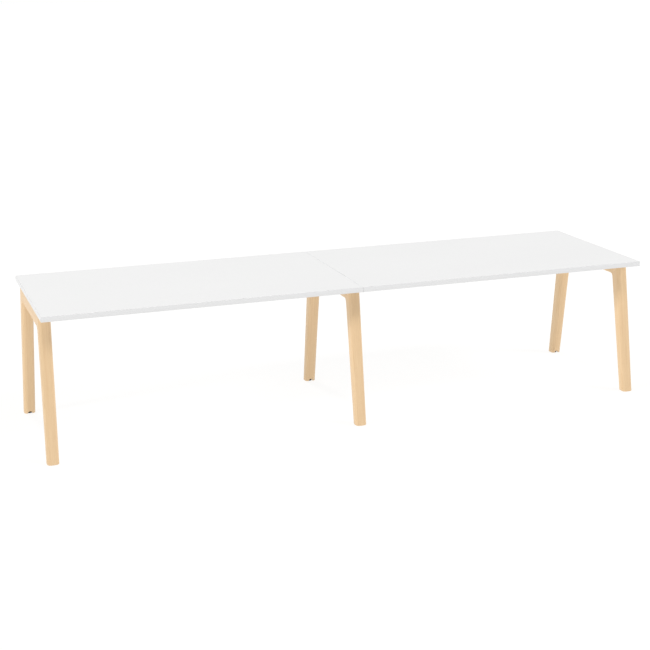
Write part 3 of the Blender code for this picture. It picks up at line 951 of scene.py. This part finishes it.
def beam_screws(side, way):
    """(x, y) of the three screws from one beam into its top."""
    low, high = (v.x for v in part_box(f"beam_{side}_{'back' if way > 0 else 'front'}"))
    low, high = low - GAP, high + GAP
    middle, reach = (low + high) / 2, (high - low) * 0.36
    return [(middle + step * reach, way * BEAM_Y) for step in (-1, 0, 1)]


def weld_bead(bm, x, out, y, z):
    """Adds a rippled fillet bead round the sides and bottom of a tube where it meets a plate."""
    corner_steps = 4
    path = rounded_rectangle(BEAM_WIDTH, BEAM_HEIGHT, BEAM_CORNER_R, corner_steps)
    # start after the first upper corner, and leave out both upper corners
    path = path[corner_steps + 1 :] + path[: corner_steps + 1]
    path = [p for p in path if p.y < BEAM_HEIGHT / 2 - BEAM_CORNER_R - NEAR]
    dense = []
    for first, second in zip(path, path[1:]):
        count = max(1, round((second - first).length / 0.0009))
        dense += [first.lerp(second, i / count) for i in range(count)]
    dense.append(path[-1])
    sides, rings = 8, []
    for i, point in enumerate(dense):
        after = dense[min(i + 1, len(dense) - 1)] - dense[max(i - 1, 0)]
        outward = Vector((after.y, -after.x)).normalized()
        if outward.dot(point) < 0:
            outward = -outward
        ripple = 1 + 0.10 * math.cos(i * 2 * math.pi / 3.0)
        from_end = min(i, len(dense) - 1 - i)
        size = WELD_R * ripple * (0.45 + 0.55 * min(1, from_end / 3))
        ring = []
        for k in range(sides):
            angle = 2 * math.pi * k / sides
            across, along = size * math.cos(angle), size * math.sin(angle)
            at = point + outward * across
            ring.append(bm.verts.new((x + out * along, y + at.x, z + at.y)))
        rings.append(ring)
    faces = [bm.faces.new(rings[0]), bm.faces.new(rings[-1])]
    for first, second in zip(rings, rings[1:]):
        for k in range(sides):
            j = (k + 1) % sides
            faces.append(bm.faces.new((first[k], second[k], second[j], first[j])))
    bmesh.ops.recalc_face_normals(bm, faces=faces)


def beams():
    """Four hollow beams with an end plate at each end, drilled for their screws."""
    for side in SIDES:
        for row, way in ROWS.items():
            node = f"beam_{side}_{row}"
            low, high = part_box(node)
            y, z = way * BEAM_Y, high.z - BEAM_HEIGHT / 2
            tube = bmesh.new()
            prism(
                tube,
                rounded_rectangle(BEAM_WIDTH, BEAM_HEIGHT, BEAM_CORNER_R, 5),
                low.x + PLATE_THICK / 2,
                high.x - PLATE_THICK / 2,
                y,
                z,
            )
            plates, bore, access, screws, coach = (bmesh.new() for _ in range(5))
            width, tall = high.y - low.y, high.z - low.z
            for x in (low.x, high.x - PLATE_THICK):
                section = rounded_rectangle(width, tall, PLATE_CORNER_R, 5)
                prism(plates, section, x, x + PLATE_THICK, y, high.z - tall / 2)
            section = rounded_rectangle(
                BEAM_WIDTH - 2 * BEAM_WALL, BEAM_HEIGHT - 2 * BEAM_WALL, 0.0015, 3
            )
            prism(bore, section, low.x + PLATE_THICK, high.x - PLATE_THICK, y, z)
            under = high.z - BEAM_HEIGHT
            for x, _ in beam_screws(side, way):
                add_rod(access, (x, y, under - 0.005), (x, y, under + 0.008), ACCESS_R)
                add_rod(screws, (x, y, high.z - 0.008), (x, y, high.z + 0.005), SCREW_HOLE_R, 20)
            for x in (low.x, high.x):
                for step in (-1, 1):
                    at = (y + step * COACH_Y, COACH_Z)
                    add_rod(coach, (x - OVERRUN, *at), (x + OVERRUN, *at), COACH_HOLE_R, 24)
            cuts = [("DIFFERENCE", bm) for bm in (bore, access, screws, coach)]
            mesh = carve(mesh_from(tube, "beam"), [("UNION", plates), *cuts])
            piece_of(f"steel_{node}", mesh, "white_powder_coat", "table", node)
            welds = bmesh.new()
            weld_bead(welds, low.x + PLATE_THICK, 1, y, z)
            weld_bead(welds, high.x - PLATE_THICK, -1, y, z)
            piece(f"weld_beads_{side}_{row}", welds, "white_powder_coat", "table", angle=60)


def seam_screws(way):
    """(x, y) of the four screws through one seam plate."""
    low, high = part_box("seam_plate_back" if way > 0 else "seam_plate_front")
    dx, dy = SEAM_SCREW
    y = (low.y + high.y) / 2
    return [(sx * dx, y + sy * dy) for sx in (-1, 1) for sy in (-1, 1)]


def seam_plates():
    """Two drilled plates across the seam, with their lower edges eased."""
    for row, way in ROWS.items():
        node = f"seam_plate_{row}"
        low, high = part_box(node)
        section = rounded_rectangle(
            high.x - low.x, high.y - low.y, SEAM_PLATE_CORNER_R, 6
        )
        bm = bmesh.new()
        ends = [
            [bm.verts.new((p.x, (low.y + high.y) / 2 + p.y, z)) for p in section]
            for z in (low.z, high.z)
        ]
        bm.faces.new(ends[0])
        bm.faces.new(list(reversed(ends[1])))
        for i in range(len(section)):
            j = (i + 1) % len(section)
            bm.faces.new((ends[0][i], ends[1][i], ends[1][j], ends[0][j]))
        bmesh.ops.recalc_face_normals(bm, faces=bm.faces)
        bevel(bm, lambda a, b, z=low.z: max(a.z, b.z) < z + SAME, 0.0004, 2)
        holes = bmesh.new()
        for x, y in seam_screws(way):
            start, end = (x, y, low.z - OVERRUN), (x, y, high.z + OVERRUN)
            add_rod(holes, start, end, SCREW_HOLE_R, 24)
        mesh = carve(mesh_from(bm, "plate"), [("DIFFERENCE", holes)])
        piece_of(f"steel_{node}", mesh, "zinc_plated_steel", "table", node)


def pan_head_screw(length):
    """5 mm wood screw pointing up from z = 0, its pan head with a cross recess below."""
    bm = bmesh.new()
    shank_r = 0.0024
    profile = [
        (0, length),
        (0.0006, length - 0.0012),
        (shank_r, length - 0.006),
        (shank_r, 0.0),
        (0.0047, 0.0),
        (0.0048, -0.0004),
        (0.0046, -0.0012),
        (0.0039, -0.0020),
        (0.0026, -0.0025),
        (0, -0.0027),
    ]
    turned(bm, profile, 32)
    bmesh.ops.recalc_face_normals(bm, faces=bm.faces)
    steps = []
    for angle in (0, math.pi / 2):
        slot = bmesh.new()
        add_box(slot, (-0.0023, -0.0004, -0.01), (0.0023, 0.0004, -0.0008))
        bmesh.ops.rotate(slot, verts=slot.verts, matrix=Matrix.Rotation(angle, 3, "Z"))
        steps.append(("DIFFERENCE", slot))
    return carve(mesh_from(bm, "screw"), steps)


def coach_screw():
    """6 mm hexagon-head screw with its washer, pointing along +X from x = 0."""
    bm = bmesh.new()
    head, washer, shank_r = 0.0040, 0.0013, 0.0029
    length = COACH_HOLE_DEPTH + PLATE_THICK - 0.0006
    profile = [
        (0, length),
        (0.0007, length - 0.0012),
        (shank_r, length - 0.005),
        (shank_r, 0.0),
        (0.0063, 0.0),
        (0.0065, -0.0003),
        (0.0065, -washer + 0.0003),
        (0.0063, -washer),
        (0, -washer),
    ]
    turned(bm, profile, 36)
    corner_r = 0.0050 / math.cos(math.pi / 6)
    hexagon = (
        (corner_r, -washer - 0.00005),
        (corner_r, -washer - head + 0.0007),
        (corner_r - 0.0007, -washer - head),
    )
    rings = [circle(bm, radius, height, 6) for radius, height in hexagon]
    for upper, lower in zip(rings, rings[1:]):
        band(bm, upper, lower, 6)
    bm.faces.new(rings[0])
    bm.faces.new(list(reversed(rings[-1])))
    bmesh.ops.recalc_face_normals(bm, faces=bm.faces)
    bmesh.ops.rotate(bm, verts=bm.verts, matrix=Matrix.Rotation(math.pi / 2, 3, "Y"))
    return mesh_from(bm, "coach_screw")


def fasteners(name, mesh, places):
    """One piece that holds a copy of the mesh at each place."""
    bm = bmesh.new()
    for place in places:
        one = mesh.copy()
        one.transform(place)
        bm.from_mesh(one)
        bpy.data.meshes.remove(one)
    piece(name, bm, "zinc_plated_steel", "table", angle=35)


def spun(at, axis="Z", turn=Matrix.Identity(4)):
    """A screw's place, turned by chance about its own axis."""
    return Matrix.Translation(at) @ turn @ Matrix.Rotation(rng.uniform(0, math.pi), 4, axis)


def all_fasteners():
    """The 44 screws, grouped by the piece that they go through."""
    coach = coach_screw()
    for side in SIDES:
        for row, way in ROWS.items():
            low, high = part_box(f"beam_{side}_{row}")
            places = []
            for x, half_turns in ((low.x + PLATE_THICK, 1), (high.x - PLATE_THICK, 0)):
                turn = Matrix.Rotation(math.pi * half_turns, 4, "Z")
                for step in (-1, 1):
                    at = (x, way * BEAM_Y + step * COACH_Y, COACH_Z)
                    places.append(spun(at, "X", turn))
            fasteners(f"coach_screws_{side}_{row}", coach, places)
            seat = high.z - BEAM_WALL
            places = [spun((x, y, seat)) for x, y in beam_screws(side, way)]
            fasteners(f"beam_screws_{side}_{row}", pan_head_screw(SCREW_TIP - seat), places)
    screw = pan_head_screw(SCREW_TIP - COUNTERBORE_TOP)
    for name in FRAMES:
        places = [spun((x, y, COUNTERBORE_TOP)) for x, y in rail_screws(name)]
        fasteners(f"rail_screws_{name}", screw, places)
    for row, way in ROWS.items():
        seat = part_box(f"seam_plate_{row}")[0].z
        places = [spun((x, y, seat)) for x, y in seam_screws(way)]
        fasteners(f"seam_screws_{row}", pan_head_screw(SCREW_TIP - seat), places)


beams()
seam_plates()
all_fasteners()


# CAD solids that stay visible take the finish of their slot
slots = {entry["node"]: entry["material_slot"] for entry in frame["record"]["subparts"]}
for name, obj in frame["nodes"].items():
    if not obj.hide_render:
        for material_slot in obj.material_slots:
            material_slot.material = FINISHES[slots[name]]


# Floor, light and camera


def floor():
    """Plain floor that glows, so that it is almost white and shadows on it are faint."""
    n = Nodes("pale_studio_floor")
    mottle = n.noise(n.position(), 0.8, 2)
    n.set(base_color=n.mix(mottle, (0.15, 0.148, 0.145), (0.156, 0.155, 0.153)), roughness=0.9)
    n.set(emission_color=(1.0, 0.998, 0.994, 1), emission_strength=0.868)
    n.set(specular_ior_level=0.1)
    bm = bmesh.new()
    bmesh.ops.create_grid(bm, x_segments=1, y_segments=1, size=60)
    mesh = mesh_from(bm, "studio_floor")
    mesh.materials.append(n.material)
    obj = bpy.data.objects.new("studio_floor", mesh)
    bpy.context.scene.collection.objects.link(obj)


def light():
    """Even white surroundings and three soft lamps: near left, near right and behind."""
    world = bpy.data.worlds.new("studio")
    bpy.context.scene.world = world
    world.use_nodes = True
    tree = world.node_tree
    lights = tree.nodes["Background"]
    seen = tree.nodes.new("ShaderNodeBackground")
    for node, strength in ((lights, 0.53), (seen, 1.0)):
        node.inputs["Color"].default_value = (1, 1, 1, 1)
        node.inputs["Strength"].default_value = strength
    path = tree.nodes.new("ShaderNodeLightPath")
    mix = tree.nodes.new("ShaderNodeMixShader")
    tree.links.new(path.outputs["Is Camera Ray"], mix.inputs[0])
    tree.links.new(lights.outputs[0], mix.inputs[1])
    tree.links.new(seen.outputs[0], mix.inputs[2])
    tree.links.new(mix.outputs[0], tree.nodes["World Output"].inputs["Surface"])
    # name, direction that it shines in, strength, and angle that it fills in degrees
    lamps = (
        ("near_left_lamp", (2.1, 0.58, -1.0), 1.08, 9),
        ("near_right_lamp", (-0.85, 0.62, -1.0), 1.22, 18),
        ("far_lamp", (0.24, -1.0, -1.0), 0.58, 10),
    )
    for name, towards, strength, spread in lamps:
        lamp = bpy.data.lights.new(name, "SUN")
        lamp.energy = strength
        lamp.angle = math.radians(spread)
        obj = bpy.data.objects.new(name, lamp)
        obj.rotation_mode = "QUATERNION"
        obj.rotation_quaternion = Vector(towards).to_track_quat("-Z", "Y")
        bpy.context.scene.collection.objects.link(obj)


def camera():
    """The front left view, tilted down so that only a small shift is needed."""
    location = (-2.4435, -6.7356, 2.3991)
    yaw, pitch, roll = (math.radians(value) for value in (19.642, 10.038, -0.397))
    forward = Vector(
        (math.sin(yaw) * math.cos(pitch), math.cos(yaw) * math.cos(pitch), -math.sin(pitch))
    )
    right = Vector((math.cos(yaw), -math.sin(yaw), 0))
    up = right.cross(forward)
    right, up = (
        math.cos(roll) * right + math.sin(roll) * up,
        -math.sin(roll) * right + math.cos(roll) * up,
    )
    data = bpy.data.cameras.new("photo_view")
    data.sensor_width = 36
    data.lens = 76.65
    data.shift_y = -0.2
    data.clip_end = 200
    obj = bpy.data.objects.new("photo_view", data)
    axes = Matrix((right, up, -forward)).transposed().to_4x4()
    obj.matrix_world = Matrix.Translation(location) @ axes
    bpy.context.scene.collection.objects.link(obj)
    bpy.context.scene.camera = obj


floor()
light()
camera()
bpy.context.scene.view_settings.view_transform = "Standard"
bpy.context.scene.view_settings.look = "None"
